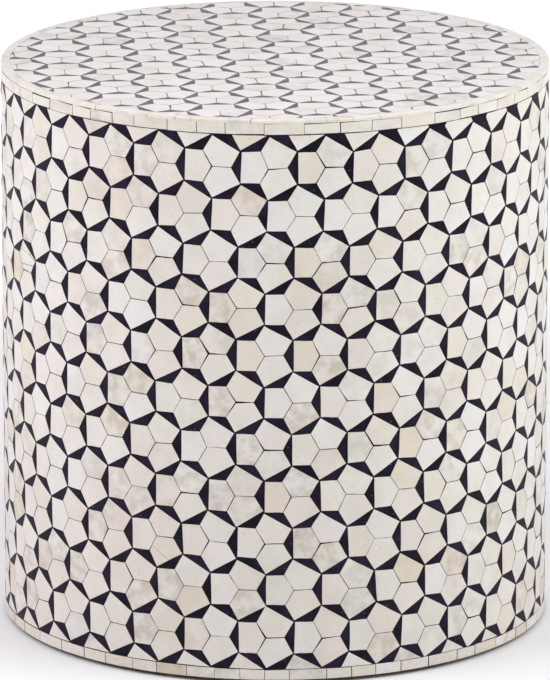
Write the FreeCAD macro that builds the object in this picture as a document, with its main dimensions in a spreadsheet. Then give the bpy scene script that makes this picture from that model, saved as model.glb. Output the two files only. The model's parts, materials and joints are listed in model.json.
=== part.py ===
import FreeCAD, Part
import Sketcher
import math
import os

# Bone inlay drum side table, in millimetres, +Z up.
# The origin is on the floor under the middle of the drum, and the front of the drum faces -Y.

os.makedirs("parts", exist_ok=True)
doc = FreeCAD.newDocument("side_table")
dims = doc.addObject("Spreadsheet::Sheet", "dims")

# Named sizes. Each one is entered once, and the shares and counts are plain numbers.
SIZES = [
    ("drum_diameter", 406),
    ("drum_height", 418),
    ("bone_thickness", 2.7),
    ("resin_thickness", 0.6),
    ("skin_thickness", 5),
    ("panel_thickness", 18),
    ("hoop_thickness", 18),
    ("hoop_width", 58),
    ("upright_depth", 22),
    ("upright_width", 44),
    ("middle_hoop_height_share", 0.5),
    ("glue_gap", 0.1),
    ("overrun", 1),
    ("rabbet_width", 12),
    ("base_panel_thickness", 4),
    ("base_panel_fit", 0.3),
    ("glide_height", 3),
    ("glide_diameter", 22),
    ("glide_edge", 1),
    ("glide_stem_diameter", 5),
    ("glide_stem_length", 11),
    ("glide_bottom_margin", 16),
    ("screw_head_diameter", 8),
    ("screw_head_depth", 3),
    ("screw_shank_diameter", 4),
    ("screw_length", 50),
    ("screw_clearance", 0.1),
    ("tack_head_diameter", 6),
    ("tack_head_height", 0.8),
    ("tack_shank_diameter", 1.6),
    ("tack_length", 14),
    ("tack_edge_margin", 6),
    ("ring_width", 8),
    ("upper_band_height", 8),
    ("lower_band_height", 7.9),
    ("seam_gap", 0.4),
    ("smallest_slip_width", 5),
    ("top_slip_share", 0.985),
    ("top_across_share", 0.0704),
    ("top_deep_share", -0.0128),
    ("top_turn", 4.7),
    ("side_turn", -2.16),
    ("hexagons_around", 31),
    ("hexagon_rows", 11),
    ("upright_count", 8),
    ("glide_count", 4),
    ("tack_count", 12),
    ("ring_strip_count", 62),
    ("band_strip_count", 52),
]

# Sizes that follow from the named ones.
DERIVED = [
    ("drum_radius", "=drum_diameter/2"),
    ("resin_radius", "=drum_radius-bone_thickness"),
    ("skin_radius", "=resin_radius-resin_thickness"),
    ("skin_bore", "=skin_radius-skin_thickness"),
    ("hoop_radius", "=skin_bore-glue_gap"),
    ("hoop_bore", "=hoop_radius-hoop_width"),
    ("base_level", "=glide_height"),
    ("top_level", "=base_level+drum_height"),
    ("bed_level", "=top_level-bone_thickness"),
    ("deck_level", "=bed_level-resin_thickness"),
    ("panel_level", "=deck_level-panel_thickness"),
    ("foot_level", "=base_level+hoop_thickness"),
    ("upright_length", "=panel_level-foot_level"),
    ("middle_level", "=foot_level+(upright_length-hoop_thickness)*middle_hoop_height_share"),
    ("upright_face", "=sqrt((hoop_radius-glue_gap)^2-(upright_width/2)^2)"),
    ("upright_back", "=upright_face-upright_depth"),
    ("screw_circle", "=upright_face-upright_depth/2"),
    ("rabbet_radius", "=hoop_bore+rabbet_width"),
    ("tack_circle", "=rabbet_radius-tack_edge_margin"),
    ("glide_circle", "=hoop_radius-glide_bottom_margin-glide_diameter/2"),
    ("field_top", "=bed_level-upper_band_height"),
    ("field_base", "=base_level+lower_band_height"),
    ("side_slip_side", "=pi*drum_diameter/(hexagons_around*sqrt(3))"),
    ("top_slip_side", "=side_slip_side*top_slip_share"),
    ("top_offset_across", "=drum_radius*top_across_share"),
    ("top_offset_deep", "=drum_radius*top_deep_share"),
]

for row, (alias, value) in enumerate(SIZES + DERIVED, start=1):
    dims.set("A" + str(row), alias)
    dims.set("B" + str(row), str(value))
    dims.setAlias("B" + str(row), alias)
doc.recompute()


def size(alias):
    return float(getattr(dims, alias))


def count(alias):
    return int(round(size(alias)))


# Sketch helpers: a closed outline or a circle whose points follow the sheet.
def new_body(label):
    body = doc.addObject("PartDesign::Body", label)
    body.Label = label
    return body


def new_sketch(body, role):
    sketch = body.newObject("Sketcher::SketchObject", "sketch")
    plane = [item for item in body.Origin.OriginFeatures if item.Role == role][0]
    sketch.AttachmentSupport = [(plane, "")]
    sketch.MapMode = "FlatFace"
    return sketch


def hold(sketch, kind, geometry, point, text):
    value = float(dims.evalExpression(text))
    place = sketch.addConstraint(Sketcher.Constraint(kind, -1, 1, geometry, point, value))
    sketch.setExpression("Constraints[" + str(place) + "]", text)


def outline(sketch, corners):
    points = []
    for across, up in corners:
        points.append(FreeCAD.Vector(float(dims.evalExpression(across)), float(dims.evalExpression(up)), 0))
    first = sketch.GeometryCount
    total = len(points)
    for index in range(total):
        sketch.addGeometry(Part.LineSegment(points[index], points[(index + 1) % total]), False)
    for index in range(total):
        following = first + (index + 1) % total
        sketch.addConstraint(Sketcher.Constraint("Coincident", first + index, 2, following, 1))
    for index, (across, up) in enumerate(corners):
        hold(sketch, "DistanceX", first + index, 1, across)
        hold(sketch, "DistanceY", first + index, 1, up)


def circle(sketch, radius_text, across="0"):
    middle = FreeCAD.Vector(float(dims.evalExpression(across)), 0, 0)
    radius = float(dims.evalExpression(radius_text))
    place = sketch.addGeometry(Part.Circle(middle, FreeCAD.Vector(0, 0, 1), radius), False)
    held = sketch.addConstraint(Sketcher.Constraint("Radius", place, radius))
    sketch.setExpression("Constraints[" + str(held) + "]", radius_text)
    hold(sketch, "DistanceX", place, 3, across)
    sketch.addConstraint(Sketcher.Constraint("PointOnObject", place, 3, -1))


def raise_sketch(sketch, level_text):
    sketch.setExpression("AttachmentOffset.Base.z", level_text)


def pad(body, sketch, length_text):
    feature = body.newObject("PartDesign::Pad", "pad")
    feature.Profile = sketch
    feature.setExpression("Length", length_text)
    body.Tip = feature
    return feature


def pocket(body, sketch, length_text):
    feature = body.newObject("PartDesign::Pocket", "pocket")
    feature.Profile = sketch
    feature.setExpression("Length", length_text)
    body.Tip = feature
    return feature


def turn(body, sketch, kind, sweep):
    feature = body.newObject("PartDesign::" + kind, kind.lower())
    feature.Profile = sketch
    feature.ReferenceAxis = (sketch, ["V_Axis"])
    feature.Angle = sweep
    body.Tip = feature
    return feature


def around(body, feature, count_alias):
    pattern = body.newObject("PartDesign::PolarPattern", "pattern")
    pattern.Originals = [feature]
    axis = [item for item in body.Origin.OriginFeatures if item.Role == "Z_Axis"][0]
    pattern.Axis = (axis, [""])
    pattern.Angle = 360
    pattern.setExpression("Occurrences", "dims." + count_alias)
    body.Tip = pattern
    return pattern


def shift_sketch(sketch, across_text):
    sketch.setExpression("AttachmentOffset.Base.x", across_text)


pieces = []


def disc(label, radius_text, level_text, length_text):
    body = new_body(label)
    sketch = new_sketch(body, "XY_Plane")
    circle(sketch, radius_text)
    raise_sketch(sketch, level_text)
    pad(body, sketch, length_text)
    pieces.append(body)
    return body


def hoop(label, level_text):
    body = new_body(label)
    sketch = new_sketch(body, "XY_Plane")
    circle(sketch, "dims.hoop_radius")
    circle(sketch, "dims.hoop_bore")
    raise_sketch(sketch, level_text)
    pad(body, sketch, "dims.hoop_thickness")
    pieces.append(body)
    return body


# The profile of a countersunk screw, half of it, pointing down from the given level.
# A hole for it is the same profile with the clearance added, run a little past both ends.
def screw_profile(level, spare):
    head = "dims.screw_head_diameter/2+" + spare
    shank = "dims.screw_shank_diameter/2+" + spare
    low = level + "-dims.screw_length-" + spare
    neck = level + "-dims.screw_head_depth-" + spare
    return [("0", level), (head, level), (shank, neck), (shank, low), ("0", low)]


def screw_holes(body, level, spare):
    sketch = new_sketch(body, "XZ_Plane")
    outline(sketch, screw_profile(level, spare))
    shift_sketch(sketch, "dims.screw_circle")
    feature = turn(body, sketch, "Groove", 360)
    return feature


# Top panel: a disc with countersunk screw holes over the uprights.
top_panel = disc("top_panel", "dims.hoop_radius", "dims.panel_level", "dims.panel_thickness")
holes = screw_holes(top_panel, "dims.deck_level", "dims.screw_clearance")
around(top_panel, holes, "upright_count")

# Middle hoop: a ring with a notch for each upright.
middle_hoop = hoop("middle_hoop", "dims.middle_level")
notch = new_sketch(middle_hoop, "XY_Plane")
inside = "dims.upright_back-dims.glue_gap"
outside = "dims.hoop_radius+dims.overrun"
half = "dims.upright_width/2+dims.glue_gap"
outline(notch, [(inside, "-(" + half + ")"), (outside, "-(" + half + ")"), (outside, half), (inside, half)])
raise_sketch(notch, "dims.middle_level+dims.hoop_thickness+dims.overrun")
notch_cut = pocket(middle_hoop, notch, "dims.hoop_thickness+2*dims.overrun")
around(middle_hoop, notch_cut, "upright_count")

# Base hoop: a ring with a rabbet below for the base panel, screw holes, glide holes and tack holes.
base_hoop = hoop("base_hoop", "dims.base_level")
rabbet = new_sketch(base_hoop, "XY_Plane")
circle(rabbet, "dims.rabbet_radius")
raise_sketch(rabbet, "dims.base_level+dims.base_panel_thickness")
pocket(base_hoop, rabbet, "dims.base_panel_thickness+dims.overrun")
base_screws = new_sketch(base_hoop, "XZ_Plane")
flip = screw_profile("-dims.base_level", "dims.screw_clearance")
outline(base_screws, [(across, "-(" + up + ")") for across, up in flip])
shift_sketch(base_screws, "dims.screw_circle")
screw_cut = turn(base_hoop, base_screws, "Groove", 360)
around(base_hoop, screw_cut, "upright_count")


def straight_hole(body, radius_text, low_text, high_text, circle_text, count_alias, angle_text):
    sketch = new_sketch(body, "XY_Plane")
    circle(sketch, radius_text, circle_text)
    raise_sketch(sketch, high_text)
    sketch.setExpression("AttachmentOffset.Rotation.Angle", angle_text)
    feature = pocket(body, sketch, "(" + high_text + ")-(" + low_text + ")")
    return around(body, feature, count_alias)


straight_hole(base_hoop, "dims.glide_stem_diameter/2+dims.screw_clearance", "dims.base_level-dims.overrun",
              "dims.base_level+dims.glide_stem_length+dims.glue_gap", "dims.glide_circle", "glide_count",
              "180/dims.upright_count")
tack_end = "dims.base_level+dims.tack_length+dims.glue_gap"
straight_hole(base_hoop, "dims.tack_shank_diameter/2+dims.glue_gap", "dims.base_level-dims.overrun",
              tack_end, "dims.tack_circle", "tack_count", "180/dims.tack_count")

# Base panel: a thin disc in the rabbet, tacked up into the hoop.
base_panel = disc("base_panel", "dims.rabbet_radius-dims.base_panel_fit", "dims.base_level",
                  "dims.base_panel_thickness")
straight_hole(base_panel, "dims.tack_shank_diameter/2+dims.glue_gap", "dims.base_level-dims.overrun",
              "dims.base_level+dims.base_panel_thickness+dims.overrun", "dims.tack_circle", "tack_count",
              "180/dims.tack_count")

# Uprights: battens between the base hoop and the top panel, each with a pilot hole in both ends.
for number in range(count("upright_count")):
    upright = new_body("upright_" + str(number + 1).zfill(2))
    sketch = new_sketch(upright, "XY_Plane")
    half = "dims.upright_width/2"
    outline(sketch, [("dims.upright_back", "-" + half), ("dims.upright_face", "-" + half),
                     ("dims.upright_face", half), ("dims.upright_back", half)])
    raise_sketch(sketch, "dims.foot_level")
    pad(upright, sketch, "dims.upright_length")
    screw_holes(upright, "dims.deck_level", "dims.screw_clearance")
    pilot = new_sketch(upright, "XZ_Plane")
    outline(pilot, [(across, "-(" + up + ")") for across, up in flip])
    shift_sketch(pilot, "dims.screw_circle")
    turn(upright, pilot, "Groove", 360)
    turned = FreeCAD.Rotation(FreeCAD.Vector(0, 0, 1), 360 * number / size("upright_count"))
    upright.Placement = FreeCAD.Placement(FreeCAD.Vector(0, 0, 0), turned)
    pieces.append(upright)


# Screws, tacks and glides: turned once and repeated around the drum as separate solids.
def fasteners(label, corners, circle_text, count_alias, angle):
    body = new_body(label)
    body.AllowCompound = True
    sketch = new_sketch(body, "XZ_Plane")
    outline(sketch, corners)
    shift_sketch(sketch, circle_text)
    feature = turn(body, sketch, "Revolution", 360)
    around(body, feature, count_alias)
    body.Placement = FreeCAD.Placement(FreeCAD.Vector(0, 0, 0), FreeCAD.Rotation(FreeCAD.Vector(0, 0, 1), angle))
    pieces.append(body)


fasteners("top_screws", screw_profile("dims.deck_level", "0"), "dims.screw_circle", "upright_count", 0)
lower = screw_profile("-dims.base_level", "0")
fasteners("base_screws", [(across, "-(" + up + ")") for across, up in lower], "dims.screw_circle",
          "upright_count", 0)
tack_head = "dims.base_level-dims.tack_head_height"
tack_top = "dims.base_level+dims.tack_length"
tack_shank = "dims.tack_shank_diameter/2"
fasteners("base_tacks", [("0", tack_head), ("dims.tack_head_diameter/2", tack_head),
                         ("dims.tack_head_diameter/2", "dims.base_level"), (tack_shank, "dims.base_level"),
                         (tack_shank, tack_top), ("0", tack_top)],
          "dims.tack_circle", "tack_count", 180 / size("tack_count"))
glide_radius = "dims.glide_diameter/2"
glide_stem = "dims.glide_stem_diameter/2"
stem_top = "dims.base_level+dims.glide_stem_length"
fasteners("floor_glides", [("0", "0"), (glide_radius + "-dims.glide_edge", "0"),
                           (glide_radius, "dims.glide_edge"), (glide_radius, "dims.base_level"),
                           (glide_stem, "dims.base_level"), (glide_stem, stem_top), ("0", stem_top)],
          "dims.glide_circle", "glide_count", 180 / size("upright_count"))


# Skin and resin bed: tubes and discs under the bone.
def tube(label, bore_text, radius_text, low_text, high_text, sweep, angle):
    body = new_body(label)
    sketch = new_sketch(body, "XZ_Plane")
    outline(sketch, [(bore_text, low_text), (radius_text, low_text), (radius_text, high_text),
                     (bore_text, high_text)])
    turn(body, sketch, "Revolution", sweep)
    body.Placement = FreeCAD.Placement(FreeCAD.Vector(0, 0, 0), FreeCAD.Rotation(FreeCAD.Vector(0, 0, 1), angle))
    pieces.append(body)


for label, angle in (("skin_back", 0), ("skin_front", 180)):
    tube(label, "dims.skin_bore", "dims.skin_radius", "dims.base_level", "dims.deck_level", 180, angle)
tube("resin_side", "dims.skin_radius", "dims.resin_radius", "dims.base_level", "dims.deck_level", 360, 0)
disc("resin_top", "dims.resin_radius", "dims.deck_level", "dims.resin_thickness")

doc.recompute()


# Bone slips: three pentagons to a hexagon, as corner points in shares of the hexagon's side.
def pentagons():
    slips = []
    seam = 1 / math.sqrt(3)
    for start in (0, 120, 240):
        corners = [(0, 0)]
        for turn_by, reach in ((0, seam), (30, 1), (90, 1), (120, seam)):
            angle = math.radians(start + turn_by)
            corners.append((reach * math.cos(angle), reach * math.sin(angle)))
        slips.append(corners)
    return slips


# The part of a convex outline on the near side of a line: across*x + up*y <= limit.
def trim(corners, across, up, limit):
    kept = []
    total = len(corners)
    for index in range(total):
        here = corners[index]
        after = corners[(index + 1) % total]
        here_over = across * here[0] + up * here[1] - limit
        after_over = across * after[0] + up * after[1] - limit
        if here_over <= 0:
            kept.append(here)
        if here_over * after_over < 0:
            share = here_over / (here_over - after_over)
            kept.append((here[0] + share * (after[0] - here[0]), here[1] + share * (after[1] - here[1])))
    return kept


# A convex outline moved inward by half a seam on every edge.
def shrink(corners, margin):
    kept = list(corners)
    total = len(corners)
    for index in range(total):
        here = corners[index]
        after = corners[(index + 1) % total]
        run = after[0] - here[0]
        rise = after[1] - here[1]
        length = math.hypot(run, rise)
        if length > 0:
            across = rise / length
            up = -run / length
            kept = trim(kept, across, up, across * here[0] + up * here[1] - margin)
    return kept


# The outline without corners that lie closer together than the seam is wide.
def clean(corners, least):
    kept = []
    for corner in corners:
        if not kept or math.hypot(corner[0] - kept[-1][0], corner[1] - kept[-1][1]) > least:
            kept.append(corner)
    while len(kept) > 1 and math.hypot(kept[0][0] - kept[-1][0], kept[0][1] - kept[-1][1]) <= least:
        kept.pop()
    return kept


def area(corners):
    total = 0
    for index in range(len(corners)):
        here = corners[index]
        after = corners[(index + 1) % len(corners)]
        total += here[0] * after[1] - after[0] * here[1]
    return total / 2


def prism(points, direction):
    wire = Part.makePolygon(points + [points[0]])
    return Part.Face(wire).extrude(direction)


# A flat slip on the side of the drum. Its back touches the resin on the slip's middle line,
# and its corners lie on lines straight out from the drum's axis.
def side_slip(corners):
    angles = [corner[0] for corner in corners]
    middle = (min(angles) + max(angles)) / 2
    resin = size("resin_radius")
    flat = [(resin * math.tan(angle - middle), level) for angle, level in corners]
    flat = clean(shrink(flat, size("seam_gap") / 2), size("seam_gap"))
    least = size("smallest_slip_width") ** 2
    if len(flat) < 3 or area(flat) < least:
        return None
    out = FreeCAD.Vector(math.sin(middle), -math.cos(middle), 0)
    along = FreeCAD.Vector(math.cos(middle), math.sin(middle), 0)
    up = FreeCAD.Vector(0, 0, 1)
    points = [out * resin + along * across + up * level for across, level in flat]
    reach = max(abs(across) for across, level in flat)
    face = math.sqrt(size("drum_radius") ** 2 - reach ** 2)
    return prism(points, out * (face - resin))


def group(label, solids):
    feature = doc.addObject("Part::Feature", label)
    feature.Label = label
    feature.Shape = Part.makeCompound(solids)
    pieces.append(feature)


# Side field: full rows of hexagons, with the row above and the row below cut by the bands.
rows = count("hexagon_rows")
columns = count("hexagons_around")
pitch = 2 * math.pi / columns
side_across = pitch / math.sqrt(3)
side_up = (size("field_top") - size("field_base")) / (1.5 * rows + 0.5)
for row in range(rows + 2):
    level = size("field_top") + side_up / 2 - 1.5 * side_up * row
    solids = []
    for column in range(columns):
        middle = math.radians(size("side_turn")) + pitch * (column + (0.5 if row % 2 == 0 else 0))
        for slip in pentagons():
            corners = [(middle + side_across * across, level + side_up * up) for across, up in slip]
            corners = trim(corners, 0, 1, size("field_top"))
            corners = trim(corners, 0, -1, -size("field_base"))
            solid = side_slip(corners) if len(corners) > 2 else None
            if solid:
                solids.append(solid)
    if row == 0:
        label = "bone_row_upper_cut"
    elif row == rows + 1:
        label = "bone_row_lower_cut"
    else:
        label = "bone_row_" + str(row).zfill(2)
    group(label, solids)


# Border strips: short straight slips in a ring on the top and in two bands on the side.
def chord_points(radius, start, end, level):
    points = []
    for angle in (start, end):
        points.append(FreeCAD.Vector(radius * math.sin(angle), -radius * math.cos(angle), level))
    return points


def strip_ring(label, strips, inner, outer, low, high):
    solids = []
    step = 2 * math.pi / strips
    gap = size("seam_gap") / outer / 2
    stretch = 1 / math.cos(step / 2)
    for index in range(strips):
        start = step * index + gap
        end = step * (index + 1) - gap
        back = chord_points(inner * stretch, start, end, low)
        front = chord_points(outer, end, start, low)
        solids.append(prism(back + front, FreeCAD.Vector(0, 0, high - low)))
    group(label, solids)


ring_inner = size("drum_radius") - size("ring_width")
ring_strips = count("ring_strip_count")
band_strips = count("band_strip_count")
strip_ring("bone_top_ring", ring_strips, ring_inner, size("drum_radius"), size("bed_level"), size("top_level"))
strip_ring("bone_upper_band", band_strips, size("resin_radius"), size("drum_radius"),
           size("field_top"), size("bed_level"))
strip_ring("bone_lower_band", band_strips, size("resin_radius"), size("drum_radius"),
           size("base_level"), size("field_base"))

# Top field: the same hexagons laid flat and cut by the ring, one node for each file of hexagons.
side = size("top_slip_side")
spin = math.radians(size("top_turn") - 90)
reach = int(math.ceil(size("drum_diameter") / (1.5 * side) / 2)) + 1
lines = [2 * math.pi * (index + 0.5) / ring_strips for index in range(ring_strips)]
files = []
for file in range(-reach, reach + 1):
    solids = []
    for step in range(-reach, reach + 1):
        local_up = 1.5 * side * file
        local_across = math.sqrt(3) * side * (step + (0.5 if file % 2 else 0))
        for slip in pentagons():
            corners = []
            for across, up in slip:
                wide = local_across + side * across
                deep = local_up + side * up
                corners.append((size("top_offset_across") + wide * math.cos(spin) - deep * math.sin(spin),
                                size("top_offset_deep") + wide * math.sin(spin) + deep * math.cos(spin)))
            for angle in lines:
                corners = trim(corners, math.sin(angle), -math.cos(angle), ring_inner)
            if len(corners) < 3:
                continue
            corners = clean(shrink(corners, size("seam_gap") / 2), size("seam_gap"))
            if len(corners) < 3 or area(corners) < size("smallest_slip_width") ** 2:
                continue
            points = [FreeCAD.Vector(across, deep, size("bed_level")) for across, deep in corners]
            solids.append(prism(points, FreeCAD.Vector(0, 0, size("bone_thickness"))))
    if solids:
        files.append(solids)
for index, solids in enumerate(files):
    group("bone_top_file_" + str(index + 1).zfill(2), solids)

# Checks, then one file for each piece.
doc.recompute()
for item in doc.Objects:
    if "Invalid" in item.State or "Error" in item.State:
        raise RuntimeError(item.Label + " did not build: " + str(item.State))
for piece in pieces:
    if not piece.Shape.isValid() or not piece.Shape.Solids:
        raise RuntimeError(piece.Label + " is not a valid solid")
for piece in pieces:
    piece.Shape.exportStep("parts/" + piece.Label + ".step")
    print(piece.Label, len(piece.Shape.Solids), "solids", round(piece.Shape.Volume / 1000, 2), "cm3")
print(len(pieces), "nodes")
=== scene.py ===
# %% [markdown]
# A drum side table covered with bone inlay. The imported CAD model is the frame: it gives the size and
# the place of every piece. This lesson dresses it: each small slip of bone is made again as its own
# curved, eased tile, set in polished dark resin. The photograph shows little else, so nearly all the
# work is in the pattern, in the slips' edges and in two materials.

import json
import math
import random

import bmesh
import bpy
from mathutils import Matrix, Vector, noise


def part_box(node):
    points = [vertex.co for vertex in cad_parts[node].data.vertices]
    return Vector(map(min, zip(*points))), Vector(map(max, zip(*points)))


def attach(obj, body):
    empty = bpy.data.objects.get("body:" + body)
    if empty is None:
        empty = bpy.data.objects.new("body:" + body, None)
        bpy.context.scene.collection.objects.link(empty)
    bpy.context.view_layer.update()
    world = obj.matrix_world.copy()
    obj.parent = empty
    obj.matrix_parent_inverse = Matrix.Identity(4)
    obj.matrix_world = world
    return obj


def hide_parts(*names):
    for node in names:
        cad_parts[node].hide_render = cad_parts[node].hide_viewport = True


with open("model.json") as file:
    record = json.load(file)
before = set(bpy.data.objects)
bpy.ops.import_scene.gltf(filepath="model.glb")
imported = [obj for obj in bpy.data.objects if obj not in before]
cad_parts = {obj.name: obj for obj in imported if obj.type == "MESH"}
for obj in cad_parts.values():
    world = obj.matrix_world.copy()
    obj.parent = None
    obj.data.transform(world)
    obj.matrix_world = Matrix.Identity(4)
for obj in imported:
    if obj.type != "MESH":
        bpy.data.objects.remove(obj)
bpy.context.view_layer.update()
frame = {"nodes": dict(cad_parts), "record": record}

# %% [markdown]
# Every size below is read from the frame's own nodes, so the tiles land exactly where the solids are.
# They could be typed in again, but then a change to the CAD model would leave the tiles behind.

# %% Sizes from the frame
MM = 0.001
rim_low, rim_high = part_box("bone_top_ring")
upper_low, upper_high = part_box("bone_upper_band")
lower_low, lower_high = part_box("bone_lower_band")
bed_low, bed_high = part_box("resin_side")

RADIUS = (upper_high.x - upper_low.x) / 2
GIRTH = 2 * math.pi * RADIUS
TOP = rim_high.z
RIM_UNDER = rim_low.z
FIELD_TOP = upper_low.z
FIELD_BASE = lower_high.z
BASE = lower_low.z
BONE = TOP - RIM_UNDER
BED = (bed_high.x - bed_low.x) / 2
print("radius", round(RADIUS, 4), "top", round(TOP, 4), "bone", round(BONE, 5))

# %% [markdown]
# The counts and turns are those of the pattern on the real drum: hexagons around it, rows down it, and
# the small turn that puts the front column left of the middle. Hexagons nest, so two rows stand only one
# and a half sides apart.

# %% Counts and turns of the pattern
HEXAGONS = 31
ROWS = 11
ROW_SIDES = 1.5
SIDE_TURN = math.radians(-2.16)
TOP_TURN = math.radians(4.7 - 90)
TOP_SHARE = 0.988
FILE_SQUEEZE = 0.98
TOP_MIDDLE = Vector((0.0773 * RADIUS, -0.0240 * RADIUS, 0))
RIM_TRIM = 7 * MM

PITCH = GIRTH / HEXAGONS
SIDE = PITCH / math.sqrt(3)
RISE = (FIELD_TOP - FIELD_BASE) / (ROW_SIDES * ROWS + 0.5)
ROW_STEP = ROW_SIDES * RISE
print("slip side", round(SIDE, 5), "rows", round(ROW_STEP, 5), "apart")

# %% [markdown]
# One hexagon of the inlay is three pentagons around a middle point, and each pentagon takes up a third
# of the turn. Between two neighbours the hexagon's edge is left free, and that free triangle is where
# the dark resin shows. A hexagon could be drawn as one mesh and cut, but three faces from a few
# vertices are simpler, and they can be copied over the whole drum with one operator. The trefoil is cut
# a little smaller than its hexagon, so the resin runs on in a thin line where three hexagons meet.


# %% One trefoil of three pentagons
def add_trefoil(sheet, pitch_side, cut_share, shoulder_share, stretch):
    side = pitch_side * cut_share
    seam = side * shoulder_share
    faces = []
    for start in (0, 120, 240):
        corners = [sheet.verts.new((0, 0, 0))]
        for turn, reach in ((0, seam), (30, side), (90, side), (120, seam)):
            angle = math.radians(start + turn)
            corners.append(sheet.verts.new((reach * math.cos(angle), stretch * reach * math.sin(angle), 0)))
        faces.append(sheet.faces.new(corners))
    return faces


def parts_of(faces):
    edges = dict.fromkeys(edge for face in faces for edge in face.edges)
    verts = dict.fromkeys(vert for face in faces for vert in face.verts)
    return [*verts, *edges, *faces]


def lay_copies(sheet, faces, places):
    parts = parts_of(faces)
    for place in places:
        copy = bmesh.ops.duplicate(sheet, geom=parts)["geom"]
        verts = [part for part in copy if isinstance(part, bmesh.types.BMVert)]
        bmesh.ops.translate(sheet, verts=verts, vec=place)
    bmesh.ops.delete(sheet, geom=list(faces), context="FACES")


# %% [markdown]
# The slips were cut and laid by hand, so no two hexagons are alike. A smooth noise moves each corner a
# little. It depends only on where the corner is, so slips that share a corner still meet there. The two
# fields read the noise at different places. A few slips have a blunt tip, and a dot of resin shows where
# it falls short of the other two. The noise gets a seed, because without one it starts from the clock
# and every run lays another drum.


# %% Hand-laid unevenness
NOISE_SEED = 11
SIDE_SHIFT = Vector((7.3, 3.1, 5.7))
TOP_SHIFT = 2 * SIDE_SHIFT
LAID_BY_HAND = 1.1 * MM
LAID_SPAN = 9 * MM
WANDER = 0.7 * MM
WANDER_SPAN = 90 * MM
BLUNT_SHARE = 0.16
BLUNT = 0.7 * MM
noise.seed_set(NOISE_SEED)


def unsettle(sheet, shift):
    for vert in sheet.verts:
        near = noise.noise_vector(vert.co / LAID_SPAN + shift)
        far = noise.noise_vector(vert.co / WANDER_SPAN + shift)
        vert.co.x += LAID_BY_HAND * near.x + WANDER * far.x
        vert.co.y += LAID_BY_HAND * near.y + WANDER * far.y


def blunt_tips(sheet, dealer):
    for face in sheet.faces:
        if dealer.random() < BLUNT_SHARE:
            tip = face.verts[0]
            inward = face.calc_center_median() - tip.co
            tip.co += inward.normalized() * BLUNT


# %% [markdown]
# On the side, each row also started a little to the right or left of where it should, and a little low
# or high, and the front was laid a touch tighter than the back. More noise would scatter the slips. A
# start and a sag for each row, in millimetres and listed from the top row down, keep the rows whole.


# %% Rows that start and sag unevenly
ROW_STARTS = (3.4, 3.2, 2.3, 0.6, 0.1, -0.4, -0.7, -0.8, -0.6, 0.3, 0.9, 1.1, 1.1)
ROW_SAGS = (0.7, 0.9, 1.0, 0.7, -0.3, -0.8, -1.3, -1.4, -1.4, -1.4, -1.3, -0.6, -0.3)
FRONT_TIGHT = 2.4 * MM
ROW_TILT = 0.7 * MM
RIGHT_DROP = 1.7 * MM
DROP_FROM = 0.1
DROP_FULL = 0.8


def between(values, place):
    low = max(0, min(len(values) - 2, math.floor(place)))
    share = max(0, min(1, place - low))
    return values[low] + (values[low + 1] - values[low]) * share


def smooth_step(low, high, value):
    share = max(0, min(1, (value - low) / (high - low)))
    return share * share * (3 - 2 * share)


def drift(sheet):
    for vert in sheet.verts:
        row = (FIELD_TOP + RISE / 2 - vert.co.y) / ROW_STEP
        rightward = math.sin(vert.co.x / RADIUS + SIDE_TURN)
        drop = ROW_TILT * rightward + RIGHT_DROP * smooth_step(DROP_FROM, DROP_FULL, rightward)
        vert.co.x += between(ROW_STARTS, row) * MM - FRONT_TIGHT * rightward
        vert.co.y -= between(ROW_SAGS, row) * MM + drop


# %% [markdown]
# The borders cut the pattern. A bisect keeps what lies on one side of a plane, as a saw would, and what
# is left too small to hold is dropped: there the resin shows. The same operator, with nothing cleared,
# cuts a long sheet across at even steps, so that it can bend smoothly.


# %% Cuts
TOUCH = 1e-7
BEND_TOUCH = 1e-6
BEND_STEPS = 180


def everything(sheet):
    return sheet.verts[:] + sheet.edges[:] + sheet.faces[:]


def keep_below(sheet, point, outward):
    bmesh.ops.bisect_plane(sheet, geom=everything(sheet), dist=TOUCH, plane_co=point, plane_no=outward,
                           clear_outer=True)


def drop_slivers(sheet, least):
    small = [face for face in sheet.faces if face.calc_area() < least]
    bmesh.ops.delete(sheet, geom=small, context="FACES")


def cut_across(sheet, low, high):
    step = GIRTH / BEND_STEPS
    for index in range(math.floor(low / step), math.ceil(high / step) + 1):
        bmesh.ops.bisect_plane(sheet, geom=everything(sheet), dist=BEND_TOUCH,
                               plane_co=(index * step, 0, 0), plane_no=(1, 0, 0))


# %% [markdown]
# Each flat face now becomes a slip of bone. An inset leaves a seam around it, and a few widths of seam
# are dealt out at random. The saw wandered, so each long edge is split in three and all points are moved
# by a hair: a seam is open at one end and shut at the other. A colour attribute keeps four random numbers
# per slip, for the tone, the warmth and the stain of the bone and for the direction of its grain.


# %% Faces to slips
SIDE_SEAMS = (0.02 * MM, 0.04 * MM, 0.09 * MM, 0.13 * MM, 0.23 * MM)
TOP_SEAMS = (0.05 * MM, 0.10 * MM, 0.15 * MM, 0.26 * MM)
STRIP_SEAMS = (0.02 * MM, 0.05 * MM, 0.08 * MM)
SAW_WANDER = 0.13 * MM
SAW_CUTS = 2
SHORT_EDGE = 1.3 * MM
LONG_EDGE = 5 * MM


def deal_tones(sheet, dealer):
    sheet.faces.layers.float.new("edge")
    tones = sheet.faces.layers.float_color.new("slip")
    for face in sheet.faces:
        face[tones] = (dealer.random(), dealer.random(), dealer.random(), dealer.random())


def open_seams(sheet, dealer, widths):
    piles = [[] for width in widths]
    for face in sheet.faces:
        piles[dealer.randrange(len(widths))].append(face)
    rings = []
    for pile, width in zip(piles, widths):
        inset = bmesh.ops.inset_individual(sheet, faces=pile, thickness=width, use_even_offset=True)
        rings += inset["faces"]
    bmesh.ops.delete(sheet, geom=rings, context="FACES")


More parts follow.
